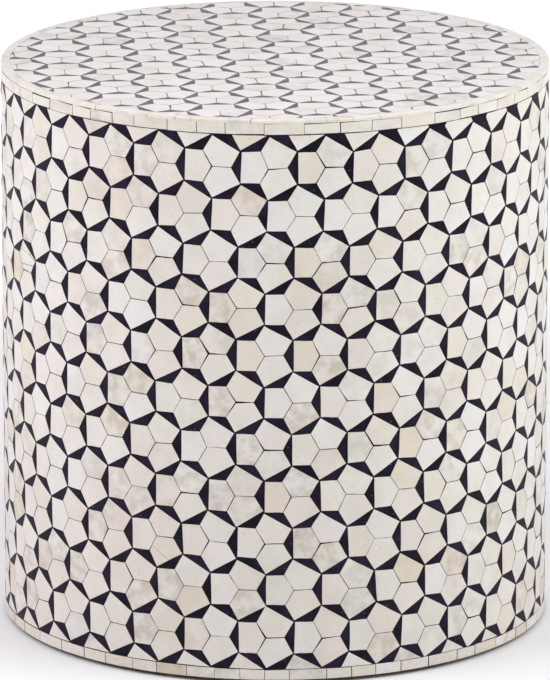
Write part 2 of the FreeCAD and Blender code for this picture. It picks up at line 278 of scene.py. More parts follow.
def saw_edges(sheet, dealer):
    bmesh.ops.dissolve_degenerate(sheet, dist=SHORT_EDGE, edges=sheet.edges[:])
    long_edges = [edge for edge in sheet.edges if edge.calc_length() > LONG_EDGE]
    bmesh.ops.bisect_edges(sheet, edges=long_edges, cuts=SAW_CUTS)
    for vert in sheet.verts:
        vert.co.x += dealer.uniform(-SAW_WANDER, SAW_WANDER)
        vert.co.y += dealer.uniform(-SAW_WANDER, SAW_WANDER)


# %% [markdown]
# A solidify gives the slips thickness, and a fine bevel eases their upper edges as sanding does. An
# attribute marks the eased faces, where resin soaks into the sawn bone and browns it. The slips are a
# little thinner than the bone of the CAD model, so their undersides end inside the resin.


# %% Thickness and eased edges
SLIP_DEPTH = BONE - 0.5 * MM
STRIP_DEPTH = BONE - 0.1 * MM
EASE = 0.22 * MM
EASE_STEPS = 1


def thicken(sheet, depth):
    bmesh.ops.solidify(sheet, geom=sheet.faces[:], thickness=depth)
    highest = max(vert.co.z for vert in sheet.verts)
    bmesh.ops.translate(sheet, verts=sheet.verts[:], vec=(0, 0, -highest))
    bmesh.ops.recalc_face_normals(sheet, faces=sheet.faces[:])


def upper_edges(sheet):
    return [edge for edge in sheet.edges if all(abs(vert.co.z) < TOUCH for vert in edge.verts)]


def ease(sheet, edges, amount, steps):
    eased = bmesh.ops.bevel(sheet, geom=edges, offset=amount, offset_type="OFFSET", affect="EDGES",
                            segments=steps, profile=0.5, material=-1)["faces"]
    edge = sheet.faces.layers.float["edge"]
    for face in eased:
        face[edge] = 1


# %% [markdown]
# The grain of a slip runs along the bone it was sawn from, so it has a direction of its own. A UV map
# made while the sheet is still flat keeps that direction, and the bend that follows can't change it.
# Slips may lie any way, but strips are sawn lengthwise. Edges that turn by more than a set angle stay
# sharp, and the rest shade smoothly.


# %% Grain map, sharp edges and finished pieces
ANY_WAY = math.pi
LENGTHWISE = 0.06
GRAIN_SHIFT = 3
SLIP_SHARP = math.radians(20)
STRIP_SHARP = math.radians(40)
RESIN_SHARP = math.radians(30)


def map_grain(sheet, spread):
    tones = sheet.faces.layers.float_color["slip"]
    grain = sheet.loops.layers.uv.new("grain")
    for face in sheet.faces:
        tone = face[tones]
        turned = Matrix.Rotation(tone[3] * spread, 2)
        start = Vector((tone[0] * GRAIN_SHIFT, tone[1] * GRAIN_SHIFT))
        for loop in face.loops:
            loop[grain].uv = turned @ loop.vert.co.xy + start


def shade(sheet, sharp_from):
    for face in sheet.faces:
        face.smooth = True
    for edge in sheet.edges:
        edge.smooth = len(edge.link_faces) == 2 and edge.calc_face_angle(math.pi) < sharp_from


def finish_piece(name, sheet, material, nodes):
    mesh = bpy.data.meshes.new(name)
    sheet.to_mesh(mesh)
    sheet.free()
    mesh.materials.append(material)
    piece = bpy.data.objects.new(name, mesh)
    bpy.context.scene.collection.objects.link(piece)
    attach(piece, "root")
    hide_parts(*nodes)
    print(name, len(mesh.polygons), "faces")


# %% [markdown]
# The bends turn a flat sheet into its place on the drum. On the side, the sheet's length becomes an
# angle and its height stays a height. On the rim, the length becomes an angle too, and the width goes
# in from the edge. A bend modifier could do this, but a formula puts each corner exactly on the radius.


# %% Bends
def bend_round(sheet):
    for vert in sheet.verts:
        angle = vert.co.x / RADIUS + SIDE_TURN
        reach = RADIUS + vert.co.z
        vert.co = Vector((reach * math.sin(angle), -reach * math.cos(angle), vert.co.y))


def bend_flat(sheet):
    for vert in sheet.verts:
        angle = vert.co.x / RADIUS
        reach = RADIUS - vert.co.y
        vert.co = Vector((reach * math.sin(angle), -reach * math.cos(angle), TOP + vert.co.z))


# %% [markdown]
# Now the materials, before the pieces that wear them. Each is a tree of nodes, and each needs the same
# few steps: bring an effect in over a range, blend two colours, multiply two masks, move a pattern. They
# could be typed out each time. A short function for each keeps a step on one line.


# %% Nodes and their sockets
def add_node(tree, kind, **settings):
    node = tree.nodes.new(kind)
    for name, value in settings.items():
        setattr(node, name, value)
    return node


def feed(tree, socket, value):
    if hasattr(value, "is_output"):
        tree.links.new(value, socket)
    else:
        socket.default_value = value


def start_material(name):
    material = bpy.data.materials.new(name)
    material.use_nodes = True
    tree = material.node_tree
    shader = tree.nodes["Principled BSDF"]
    place = add_node(tree, "ShaderNodeTexCoord").outputs["Object"]
    return material, tree, shader, place


# %% Ranges, blends and sums
def ramp(tree, value, low, high):
    node = add_node(tree, "ShaderNodeMapRange", interpolation_type="SMOOTHSTEP")
    feed(tree, node.inputs["Value"], value)
    feed(tree, node.inputs["From Min"], low)
    feed(tree, node.inputs["From Max"], high)
    return node.outputs["Result"]


def spread_over(tree, value, low, high):
    node = add_node(tree, "ShaderNodeMapRange")
    feed(tree, node.inputs["Value"], value)
    feed(tree, node.inputs["To Min"], low)
    feed(tree, node.inputs["To Max"], high)
    return node.outputs["Result"]


# A Mix node has its share at socket 0, its two colours at 6 and 7 and the mixed colour at output 2.
def blend(tree, share, first, second, mode="MIX"):
    node = add_node(tree, "ShaderNodeMix", data_type="RGBA", blend_type=mode)
    feed(tree, node.inputs[0], share)
    feed(tree, node.inputs[6], first)
    feed(tree, node.inputs[7], second)
    return node.outputs[2]


def reckon(tree, operation, first, second):
    node = add_node(tree, "ShaderNodeMath", operation=operation)
    feed(tree, node.inputs[0], first)
    feed(tree, node.inputs[1], second)
    return node.outputs[0]


def times(tree, first, second):
    return reckon(tree, "MULTIPLY", first, second)


# %% Patterns and relief
def split(tree, colour):
    node = add_node(tree, "ShaderNodeSeparateColor")
    feed(tree, node.inputs[0], colour)
    return node.outputs


def moved(tree, vector, **changes):
    node = add_node(tree, "ShaderNodeMapping")
    feed(tree, node.inputs["Vector"], vector)
    for name, value in changes.items():
        feed(tree, node.inputs[name], value)
    return node.outputs[0]


def fine_noise(tree, vector, detail):
    node = add_node(tree, "ShaderNodeTexNoise")
    feed(tree, node.inputs["Vector"], vector)
    feed(tree, node.inputs["Scale"], 1)
    feed(tree, node.inputs["Detail"], detail)
    return node.outputs[0]


def stamp(tree, group, vector, **values):
    node = add_node(tree, "ShaderNodeGroup", node_tree=group)
    feed(tree, node.inputs["Vector"], vector)
    for name, value in values.items():
        feed(tree, node.inputs[name], value)
    return node.outputs["Mask"]


def relief(tree, height, strength, depth, invert=False):
    node = add_node(tree, "ShaderNodeBump", invert=invert)
    feed(tree, node.inputs["Height"], height)
    feed(tree, node.inputs["Strength"], strength)
    feed(tree, node.inputs["Distance"], depth)
    return node.outputs[0]


# %% [markdown]
# Two effects are shared by bone and resin, so they are node groups: soft clouds, for smudges and damp,
# and small specks, for pores and pits. A group is built once and stamped with its own values.


# %% Shared effects
CLOUD_RANGE = (0.38, 0.66)


def start_group(name, values):
    group = bpy.data.node_groups.new(name, "ShaderNodeTree")
    group.interface.new_socket("Vector", in_out="INPUT", socket_type="NodeSocketVector")
    for label, value in values.items():
        socket = group.interface.new_socket(label, in_out="INPUT", socket_type="NodeSocketFloat")
        socket.default_value = value
    group.interface.new_socket("Mask", in_out="OUTPUT", socket_type="NodeSocketFloat")
    given = add_node(group, "NodeGroupInput").outputs
    result = add_node(group, "NodeGroupOutput").inputs["Mask"]
    return group, given, result


def make_clouds():
    group, given, result = start_group("soft_clouds", {"Scale": 20})
    cloud = add_node(group, "ShaderNodeTexNoise")
    feed(group, cloud.inputs["Vector"], given["Vector"])
    feed(group, cloud.inputs["Scale"], given["Scale"])
    feed(group, cloud.inputs["Detail"], 4)
    feed(group, cloud.inputs["Roughness"], 0.6)
    feed(group, result, ramp(group, cloud.outputs[0], *CLOUD_RANGE))
    return group


def make_specks():
    group, given, result = start_group("small_specks", {"Scale": 600, "Radius": 0.2, "Share": 0.3})
    cells = add_node(group, "ShaderNodeTexVoronoi")
    feed(group, cells.inputs["Vector"], given["Vector"])
    feed(group, cells.inputs["Scale"], given["Scale"])
    inside = reckon(group, "LESS_THAN", cells.outputs["Distance"], given["Radius"])
    chosen = reckon(group, "LESS_THAN", split(group, cells.outputs["Color"])[0], given["Share"])
    feed(group, result, times(group, inside, chosen))
    return group


CLOUDS = make_clouds()
SPECKS = make_specks()
print("groups", CLOUDS.name, SPECKS.name)

# %% [markdown]
# Bone is never one white: each slip has its own tone, and a few are yellow or milky. One colour with
# noise would look like plastic. Here each slip has seven numbers: the four that were dealt to it, and
# three more that a white noise draws from them. Each number brings in a tint or a mark over a range, so
# most slips are plain and a few are not.


# %% Tints of bone
CREAM = (0.788, 0.735, 0.674, 1)
WHITE = (0.828, 0.797, 0.766, 1)
STRAW = (0.745, 0.669, 0.556, 1)
MILK = (0.79, 0.785, 0.765, 1)
ROSE = (1.0, 0.983, 0.987, 1)
LEAF = (0.994, 1.0, 0.978, 1)
STRAW_FULL = 1.15
STRAW_SHARE = 0.9
MILK_RANGE = (0.65, 1.0)
MILK_SHARE = 0.6
ROSE_RANGE = (0.4, 1.0)
LEAF_RANGE = (0.2, 0.6)


def draw_numbers(tree):
    slip = add_node(tree, "ShaderNodeAttribute", attribute_name="slip")
    tone, warmth, stain = split(tree, slip.outputs["Color"])[:3]
    more = add_node(tree, "ShaderNodeTexWhiteNoise")
    feed(tree, more.inputs["Vector"], slip.outputs["Color"])
    rose, leaf, crack = split(tree, more.outputs["Color"])[:3]
    return {"tone": tone, "warmth": warmth, "stain": stain, "milk": slip.outputs["Alpha"],
            "rose": rose, "leaf": leaf, "crack": crack}


def tint_slips(tree, drawn, straw_from):
    colour = blend(tree, drawn["tone"], CREAM, WHITE)
    yellow = times(tree, ramp(tree, drawn["warmth"], straw_from, STRAW_FULL), STRAW_SHARE)
    colour = blend(tree, yellow, colour, STRAW)
    milky = times(tree, ramp(tree, drawn["milk"], *MILK_RANGE), MILK_SHARE)
    colour = blend(tree, milky, colour, MILK)
    colour = blend(tree, ramp(tree, drawn["rose"], *ROSE_RANGE), colour, ROSE, "MULTIPLY")
    return blend(tree, ramp(tree, drawn["leaf"], *LEAF_RANGE), colour, LEAF, "MULTIPLY")


# %% [markdown]
# Some slips are mottled, and some have a warm or an ashen heart. These stains follow the slip, so they
# are clouds on its grain map. Smudges from handling lie over many slips at once, and a painted shade
# darkens the drum towards its foot, so those two are laid by the place on the drum.


# %% Stains, smudges and painted shade at the foot
MOTTLE = (0.79, 0.755, 0.71, 1)
IVORY = (1.0, 0.976, 0.932, 1)
ASH = (0.84, 0.825, 0.835, 1)
SMUDGE = (0.90, 0.88, 0.855, 1)
# The next tint darkens the slips towards the foot: painted shade for the light falling off down the side.
FOOT_SHADE = (0.952, 0.938, 0.932, 1)
MOTTLE_SCALE = 95
MOTTLE_RANGE = (0.62, 1.0)
HEART_SCALE = 60
HEART_SHIFT = (7, 3, 0)
IVORY_RANGE = (0.35, 0.95)
ASH_RANGE = (0.86, 1.0)
SMUDGE_SHARE = 0.55
FOOT_SHADE_TOP = BASE + 0.6 * (TOP - BASE)
FOOT_SHADE_BASE = BASE + 0.1 * (TOP - BASE)


def stain_slips(tree, drawn, grain, colour):
    patches = stamp(tree, CLOUDS, grain, Scale=MOTTLE_SCALE)
    mottled = times(tree, patches, ramp(tree, drawn["stain"], *MOTTLE_RANGE))
    colour = blend(tree, mottled, colour, MOTTLE, "MULTIPLY")
    hearts = stamp(tree, CLOUDS, moved(tree, grain, Location=HEART_SHIFT), Scale=HEART_SCALE)
    warm_heart = times(tree, hearts, ramp(tree, drawn["warmth"], *IVORY_RANGE))
    colour = blend(tree, warm_heart, colour, IVORY, "MULTIPLY")
    ashen = times(tree, hearts, ramp(tree, drawn["leaf"], *ASH_RANGE))
    return blend(tree, ashen, colour, ASH, "MULTIPLY")


def smudge_and_shade_drum(tree, place, clouds, colour):
    colour = blend(tree, times(tree, clouds, SMUDGE_SHARE), colour, SMUDGE, "MULTIPLY")
    height = add_node(tree, "ShaderNodeSeparateXYZ")
    feed(tree, height.inputs[0], place)
    # Darker towards the foot: painted shade for the light falling off down the drum's side.
    shaded_foot = ramp(tree, height.outputs[2], FOOT_SHADE_TOP, FOOT_SHADE_BASE)
    return blend(tree, shaded_foot, colour, FOOT_SHADE, "MULTIPLY")


# %% [markdown]
# Sawn bone shows small brown pores, drawn out along the grain, and here and there a slip has a hairline
# crack. Modelled pores would cost a great many faces, so they are specks in the colour. The cracks are
# the borders of long cells, and only a slip in a hundred or so gets them. At the eased edges the bone
# has soaked up resin, more in some places than in others. On the rim's lip the same mark paints a pale
# highlight instead.


# %% Pores, cracks, soaked edges and the painted lip highlight
PORE_BROWN = (0.30, 0.24, 0.18, 1)
PORE_STRETCH = (0.45, 1, 1)
PORE_SHARE = 0.4
CRACK_CELLS = (5, 38, 1)
CRACK_WIDTH = 0.005
CRACK_RANGE = (0.985, 1.0)
DAMP_SCALE = 75
SOAK_LEAST = 0.12
SOAK_MOST = 0.8


def mark_pores(tree, grain, colour):
    stretched = moved(tree, grain, Scale=PORE_STRETCH)
    pores = stamp(tree, SPECKS, stretched, Scale=420, Radius=0.16, Share=0.05)
    return blend(tree, times(tree, pores, PORE_SHARE), colour, PORE_BROWN)


def crack_slips(tree, drawn, grain, colour):
    cells = add_node(tree, "ShaderNodeTexVoronoi", feature="DISTANCE_TO_EDGE")
    feed(tree, cells.inputs["Vector"], moved(tree, grain, Scale=CRACK_CELLS))
    feed(tree, cells.inputs["Scale"], 1)
    line = reckon(tree, "LESS_THAN", cells.outputs["Distance"], CRACK_WIDTH)
    crack = times(tree, line, ramp(tree, drawn["crack"], *CRACK_RANGE))
    return blend(tree, crack, colour, PORE_BROWN)


def soak_and_highlight_edges(tree, place, edge_tint, colour):
    edge = add_node(tree, "ShaderNodeAttribute", attribute_name="edge")
    edge_clouds = stamp(tree, CLOUDS, place, Scale=DAMP_SCALE)
    soak_and_highlight_mask = times(tree, edge.outputs["Fac"], spread_over(tree, edge_clouds, SOAK_LEAST, SOAK_MOST))
    return blend(tree, soak_and_highlight_mask, colour, edge_tint)


# %% [markdown]
# The bone of the five pieces differs a little: the top is polished, with a cooler, greyer wash that paints
# the different light on the top, the rim is matt with a pale lip that paints a highlight, the upper band is
# even and warm, and the foot is straw-coloured. Five materials could be made by hand, but one recipe with
# other values keeps them alike, down to the faint lengthwise grain. A wash pulls the slips of a piece
# towards one colour. The edges are brown with resin, and the rim's lip is pale with a painted highlight.


# %% Bone
GRAIN_BROWN = (0.62, 0.53, 0.42, 1)
EDGE_BROWN = (0.38, 0.30, 0.245, 1)
TOP_LIGHT_WASH = (0.712, 0.717, 0.696, 1)
SHELL = (0.685, 0.667, 0.641, 1)
FAWN = (0.80, 0.752, 0.645, 1)
# The rim's lip colour is a painted highlight along its worn round edge.
PAINTED_LIP_HIGHLIGHT = (0.86, 0.778, 0.662, 1)
STREAKS = (160, 1700, 1)
STREAK_RANGE = (0.5, 0.8)
SMUDGE_SCALE = 38
BONE_ROUGHER = 0.16


def make_bone(name, straw_from, streak_share, wash_share, wash, edge_tint, gloss, smooth):
    material, tree, shader, place = start_material(name)
    drawn = draw_numbers(tree)
    colour = tint_slips(tree, drawn, straw_from)
    colour = blend(tree, wash_share, colour, wash)
    grain = add_node(tree, "ShaderNodeUVMap", uv_map="grain").outputs[0]
    streaks = fine_noise(tree, moved(tree, grain, Scale=STREAKS), detail=3)
    streaked = times(tree, ramp(tree, streaks, *STREAK_RANGE), streak_share)
    colour = blend(tree, streaked, colour, GRAIN_BROWN)
    colour = stain_slips(tree, drawn, grain, colour)
    clouds = stamp(tree, CLOUDS, place, Scale=SMUDGE_SCALE)
    colour = smudge_and_shade_drum(tree, place, clouds, colour)
    colour = mark_pores(tree, grain, colour)
    colour = crack_slips(tree, drawn, grain, colour)
    colour = soak_and_highlight_edges(tree, place, edge_tint, colour)
    feed(tree, shader.inputs["Base Color"], colour)
    feed(tree, shader.inputs["Roughness"], spread_over(tree, clouds, smooth, smooth + BONE_ROUGHER))
    feed(tree, shader.inputs["Normal"], relief(tree, streaks, strength=0.12, depth=0.2 * MM))
    shader.inputs["Specular IOR Level"].default_value = gloss
    return material


side_bone = make_bone("side_bone", straw_from=0.76, streak_share=0.45, wash_share=0, wash=CREAM,
                      edge_tint=EDGE_BROWN, gloss=0.32, smooth=0.42)
# The top's greyer, cooler wash is painted light: it stands in for the top being lit differently from the
# side.
top_bone = make_bone("top_bone", straw_from=0.80, streak_share=0.45, wash_share=0.5, wash=TOP_LIGHT_WASH,
                     edge_tint=EDGE_BROWN, gloss=0.5, smooth=0.30)
# On the rim the edge tint is a pale painted highlight on the worn lip, not resin.
rim_bone = make_bone("rim_bone", straw_from=0.45, streak_share=0.80, wash_share=0.55, wash=SHELL,
                     edge_tint=PAINTED_LIP_HIGHLIGHT, gloss=0.2, smooth=0.55)
upper_bone = make_bone("upper_bone", straw_from=0.70, streak_share=0.45, wash_share=0.4, wash=FAWN,
                       edge_tint=EDGE_BROWN, gloss=0.4, smooth=0.36)
foot_bone = make_bone("foot_bone", straw_from=0.25, streak_share=0.95, wash_share=0, wash=CREAM,
                      edge_tint=EDGE_BROWN, gloss=0.4, smooth=0.36)
print("materials", side_bone.name, top_bone.name, rim_bone.name, upper_bone.name, foot_bone.name)

# %% [markdown]
# The resin is a very dark purple with a polish, and dust from the sanding sits in its tiny pits. Pale
# dots alone would lie on the surface like paint. The specks that make the dust also sink the surface, so
# each is a pit.


# %% Resin finish
RESIN_DARK = (0.0052, 0.0033, 0.0108, 1)
RESIN_LIGHT = (0.0170, 0.0118, 0.0285, 1)
DUST = (0.26, 0.25, 0.25, 1)
RESIN_ROUGHER = 0.12


def make_resin(name, gloss, smooth):
    material, tree, shader, place = start_material(name)
    clouds = stamp(tree, CLOUDS, place, Scale=48)
    colour = blend(tree, clouds, RESIN_DARK, RESIN_LIGHT)
    pits = stamp(tree, SPECKS, place, Scale=430, Radius=0.13, Share=0.09)
    colour = blend(tree, pits, colour, DUST)
    feed(tree, shader.inputs["Base Color"], colour)
    feed(tree, shader.inputs["Roughness"], spread_over(tree, clouds, smooth, smooth + RESIN_ROUGHER))
    feed(tree, shader.inputs["Normal"], relief(tree, pits, strength=0.25, depth=0.15 * MM, invert=True))
    shader.inputs["Specular IOR Level"].default_value = gloss
    return material


side_resin_finish = make_resin("side_resin_finish", gloss=0.12, smooth=0.46)
top_resin_finish = make_resin("top_resin_finish", gloss=0.5, smooth=0.20)
print("materials", side_resin_finish.name, top_resin_finish.name)

# %% [markdown]
# The side field: full rows of hexagons, and one more row above and below that the borders cut. The
# sheet is laid out flat, as long as the drum's girth, because flat slips are easy to cut and inset. The
# rows are offset by half a hexagon in turn. One dealer serves all pieces, so the order of its draws
# matters.

# %% Side field
DEAL_SEED = 11
SIDE_CUT_SHARE = 0.985
SIDE_SHOULDER_SHARE = 0.577
SIDE_SLIVER = 60 * MM * MM
BORDER_LINE = 0.14 * MM

dealer = random.Random(DEAL_SEED)
side_sheet = bmesh.new()
trefoil = add_trefoil(side_sheet, SIDE, SIDE_CUT_SHARE, SIDE_SHOULDER_SHARE, RISE / SIDE)
places = []
for row in range(ROWS + 2):
    height = FIELD_TOP + RISE / 2 - ROW_STEP * row
    half_step = PITCH / 2 if row % 2 == 0 else 0
    for column in range(HEXAGONS):
        places.append((column * PITCH + half_step, height, 0))
lay_copies(side_sheet, trefoil, places)
unsettle(side_sheet, SIDE_SHIFT)
blunt_tips(side_sheet, dealer)
drift(side_sheet)
keep_below(side_sheet, (0, FIELD_TOP - BORDER_LINE, 0), (0, 1, 0))
keep_below(side_sheet, (0, FIELD_BASE + BORDER_LINE, 0), (0, -1, 0))
drop_slivers(side_sheet, SIDE_SLIVER)
print("side slips", len(side_sheet.faces))

# %% Side slips
deal_tones(side_sheet, dealer)
open_seams(side_sheet, dealer, SIDE_SEAMS)
saw_edges(side_sheet, dealer)
thicken(side_sheet, SLIP_DEPTH)
ease(side_sheet, upper_edges(side_sheet), EASE, EASE_STEPS)
cut_across(side_sheet, -PITCH, GIRTH + PITCH)
map_grain(side_sheet, ANY_WAY)
shade(side_sheet, SLIP_SHARP)
bend_round(side_sheet)
row_nodes = [node for node in frame["nodes"] if node.startswith("bone_row_")]
finish_piece("side_slips", side_sheet, side_bone, row_nodes)

# %% [markdown]
# The top field is the same pattern laid flat and turned. The rim cuts it, so planes around the rim's
# inner edge trim the sheet, as a saw would trim the outer slips to fit. A boolean with a disc would do
# it too, but it would need closed slips, and these are still flat.

# %% Top field
TOP_CUT_SHARE = 0.984
TOP_SHOULDER_SHARE = 0.61
TOP_SLIVER = 22 * MM * MM
TRIMS = 72

top_sheet = bmesh.new()
top_side = SIDE * TOP_SHARE
trefoil = add_trefoil(top_sheet, top_side, TOP_CUT_SHARE, TOP_SHOULDER_SHARE, FILE_SQUEEZE)
reach = math.ceil(RADIUS / (ROW_SIDES * top_side)) + 1
places = []
for file in range(-reach, reach + 1):
    half_step = 0.5 if file % 2 else 0
    across = ROW_SIDES * top_side * FILE_SQUEEZE * file
    for step in range(-reach, reach + 1):
        place = Vector((math.sqrt(3) * top_side * (step + half_step), across, 0))
        if place.length < RADIUS + top_side * 2:
            places.append(place)
lay_copies(top_sheet, trefoil, places)
unsettle(top_sheet, TOP_SHIFT)
blunt_tips(top_sheet, dealer)
top_turn = Matrix.Rotation(TOP_TURN, 3, "Z")
bmesh.ops.rotate(top_sheet, verts=top_sheet.verts[:], cent=(0, 0, 0), matrix=top_turn)
bmesh.ops.translate(top_sheet, verts=top_sheet.verts[:], vec=TOP_MIDDLE)
for index in range(TRIMS):
    angle = 2 * math.pi * index / TRIMS
    outward = Vector((math.cos(angle), math.sin(angle), 0))
    keep_below(top_sheet, outward * (RADIUS - RIM_TRIM), outward)
drop_slivers(top_sheet, TOP_SLIVER)
print("top slips", len(top_sheet.faces))

# %% Top slips
deal_tones(top_sheet, dealer)
open_seams(top_sheet, dealer, TOP_SEAMS)
saw_edges(top_sheet, dealer)
thicken(top_sheet, SLIP_DEPTH)
ease(top_sheet, upper_edges(top_sheet), EASE, EASE_STEPS)
map_grain(top_sheet, ANY_WAY)
shade(top_sheet, SLIP_SHARP)
bmesh.ops.translate(top_sheet, verts=top_sheet.verts[:], vec=(0, 0, TOP))
file_nodes = [node for node in frame["nodes"] if node.startswith("bone_top_file_")]
finish_piece("top_slips", top_sheet, top_bone, file_nodes)

# %% [markdown]
# The borders are courses of short strips, sawn to no exact length or width. Each course is a row of
# rectangles whose lengths are dealt at random and then scaled so that they close the ring. Each corner
# falls short by its own small amount, so the dark line along a course comes and goes: wide at one end of
# a strip, shut at the other.


# %% Strips
SHUT = 0
OPEN = 0.6 * MM
WIDE = 1.15 * MM
TUCK = 0.28
LEAN = 0.4 * MM
JOINT = 0.6 * MM
SHORTEST = 0.72
LONGEST = 1.18


def fall_short(dealer, most):
    return most * (dealer.random() ** 3 - TUCK)


def lay_strips(sheet, dealer, typical, low, high, low_short, high_short):
    lengths = []
    while sum(lengths) < GIRTH:
        lengths.append(typical * dealer.uniform(SHORTEST, LONGEST))
    scale = GIRTH / sum(lengths)
    leans = [dealer.uniform(-LEAN, LEAN) for length in lengths]
    start = 0
    for index, length in enumerate(lengths):
        end = start + length * scale
        sawn_end = end - JOINT * dealer.random() ** 3
        corners = [
            (start, low + fall_short(dealer, low_short)),
            (sawn_end, low + fall_short(dealer, low_short)),
            (sawn_end + leans[index], high - fall_short(dealer, high_short)),
            (start + leans[index - 1], high - fall_short(dealer, high_short)),
        ]
        sheet.faces.new([sheet.verts.new((across, up, 0)) for across, up in corners])
        start = end


# %% [markdown]
# The ring lies flat on the rim, and the two bands stand on the side. The ring's outer edge is worn round,
# and there a pale, warm tint paints a highlight. So the ring gets a wider bevel at that edge alone, with
# the mark that takes the painted highlight, and the bands get the same fine bevel as the slips.


# %% Borders
RIM_STRIP = 21 * MM
BAND_STRIP = 25 * MM
WORN_ROUND = 1.1 * MM
WORN_STEPS = 4
OUTER_EDGE = 0.3 * MM


def round_and_highlight_lip(sheet, low):
    upper = upper_edges(sheet)
    outer = [edge for edge in upper if all(vert.co.y < low + OUTER_EDGE for vert in edge.verts)]
    ease(sheet, outer, WORN_ROUND, WORN_STEPS)
    # These faces get the pale tint: a painted highlight along the rounded lip.
    edge = sheet.faces.layers.float["edge"]
    for face in sheet.faces:
        if face.calc_center_median().y < low + WORN_ROUND / 2:
            face[edge] = 1


def make_border(name, node, bone, typical, low, high, low_short, high_short, bend, worn_and_highlit):
    sheet = bmesh.new()
    lay_strips(sheet, dealer, typical, low, high, low_short, high_short)
    deal_tones(sheet, dealer)
    open_seams(sheet, dealer, STRIP_SEAMS)
    thicken(sheet, STRIP_DEPTH)
    if worn_and_highlit:
        round_and_highlight_lip(sheet, low)
    else:
        ease(sheet, upper_edges(sheet), EASE, EASE_STEPS)
    cut_across(sheet, 0, GIRTH)
    map_grain(sheet, LENGTHWISE)
    shade(sheet, STRIP_SHARP)
    bend(sheet)
    finish_piece(name, sheet, bone, [node])


make_border("rim_strips", "bone_top_ring", rim_bone, RIM_STRIP, 0, RIM_TRIM, SHUT, OPEN,
            bend=bend_flat, worn_and_highlit=True)
make_border("upper_strips", "bone_upper_band", upper_bone, BAND_STRIP, FIELD_TOP, RIM_UNDER, OPEN, WIDE,
            bend=bend_round, worn_and_highlit=False)
make_border("lower_strips", "bone_lower_band", foot_bone, BAND_STRIP, BASE, FIELD_BASE, SHUT, OPEN,
            bend=bend_round, worn_and_highlit=False)

# %% [markdown]
# The resin fills everything between the slips and is sanded with them, so its surface lies a hair below
# theirs. Filling each gap alone would take a great many small pieces. One tube and one disc do it: a
# rectangle spun about the drum's axis gives the tube, and a circle with thickness gives the disc.


# %% Resin bed
SUNK = 0.10 * MM
BED_LAP = 0.5 * MM
TUBE_STEPS = 360
DISC_SIDES = 180


def finish_resin(name, sheet, material, node):
    bmesh.ops.recalc_face_normals(sheet, faces=sheet.faces[:])
    shade(sheet, RESIN_SHARP)
    finish_piece(name, sheet, material, [node])


tube = bmesh.new()
inner = BED - BED_LAP
outer = RADIUS - SUNK
profile = [(inner, BASE), (outer, BASE), (outer, RIM_UNDER), (inner, RIM_UNDER)]
corners = [tube.verts.new((reach, 0, height)) for reach, height in profile]
edges = [tube.edges.new(pair) for pair in zip(corners, corners[1:] + corners[:1])]
bmesh.ops.spin(tube, geom=corners + edges, cent=(0, 0, 0), axis=(0, 0, 1), angle=2 * math.pi,
               steps=TUBE_STEPS, use_merge=True)
bmesh.ops.remove_doubles(tube, verts=tube.verts[:], dist=TOUCH)
finish_resin("side_resin", tube, side_resin_finish, "resin_side")

disc = bmesh.new()
bmesh.ops.create_circle(disc, cap_ends=True, radius=RADIUS - BONE, segments=DISC_SIDES)
thicken(disc, BONE)
bmesh.ops.translate(disc, verts=disc.verts[:], vec=(0, 0, TOP - SUNK))
finish_resin("top_resin", disc, top_resin_finish, "resin_top")

# %% [markdown]
# The carcass is hidden under the inlay, apart from what shows below: the base panel with its tacks, the
# hoop with its screws, and the glides. Its CAD shapes are right as they are, so they keep their meshes
# and get finishes. Board, ply, pine, zinc and nylon all show a fine fibre or grit, so one recipe at other
# scales serves them.


# %% Carcass finishes
FIBRE_RANGE = (0.3, 0.7)
BOARD_ROUGHER = 0.2


def make_board(name, dark, light, across, along, smooth):
    material, tree, shader, place = start_material(name)
    fibres = fine_noise(tree, moved(tree, place, Scale=(across, across, along)), detail=6)
    colour = blend(tree, ramp(tree, fibres, *FIBRE_RANGE), dark, light)
    feed(tree, shader.inputs["Base Color"], colour)
    feed(tree, shader.inputs["Roughness"], spread_over(tree, fibres, smooth, smooth + BOARD_ROUGHER))
    feed(tree, shader.inputs["Normal"], relief(tree, fibres, strength=0.2, depth=0.3 * MM))
    return material


FINISHES = {
    "fibreboard": make_board("fibreboard", (0.26, 0.17, 0.10, 1), (0.42, 0.30, 0.19, 1),
                             across=500, along=500, smooth=0.7),
    "plywood": make_board("plywood", (0.45, 0.31, 0.17, 1), (0.64, 0.49, 0.31, 1),
                          across=40, along=700, smooth=0.6),
    "hardboard": make_board("hardboard", (0.15, 0.085, 0.045, 1), (0.26, 0.16, 0.09, 1),
                            across=300, along=300, smooth=0.5),
    "pine": make_board("pine", (0.56, 0.38, 0.19, 1), (0.74, 0.56, 0.34, 1),
                       across=260, along=8, smooth=0.55),
    "steel": make_board("steel", (0.42, 0.41, 0.39, 1), (0.58, 0.57, 0.55, 1),
                        across=900, along=900, smooth=0.3),
    "nylon": make_board("nylon", (0.018, 0.016, 0.014, 1), (0.035, 0.031, 0.028, 1),
                        across=700, along=700, smooth=0.5),
}
FINISHES["steel"].node_tree.nodes["Principled BSDF"].inputs["Metallic"].default_value = 1
for entry in frame["record"]["subparts"]:
    finish = FINISHES.get(entry["material_slot"])
    if finish:
        mesh = frame["nodes"][entry["node"]].data
        mesh.materials.clear()
        mesh.materials.append(finish)
print("carcass finishes", sorted(FINISHES))

# %% [markdown]
# The studio has a wide pale floor and a soft sky. An even sky would leave the polished top flat. This one
# is brighter behind the drum than before it, with a touch of violet, and the top mirrors that.

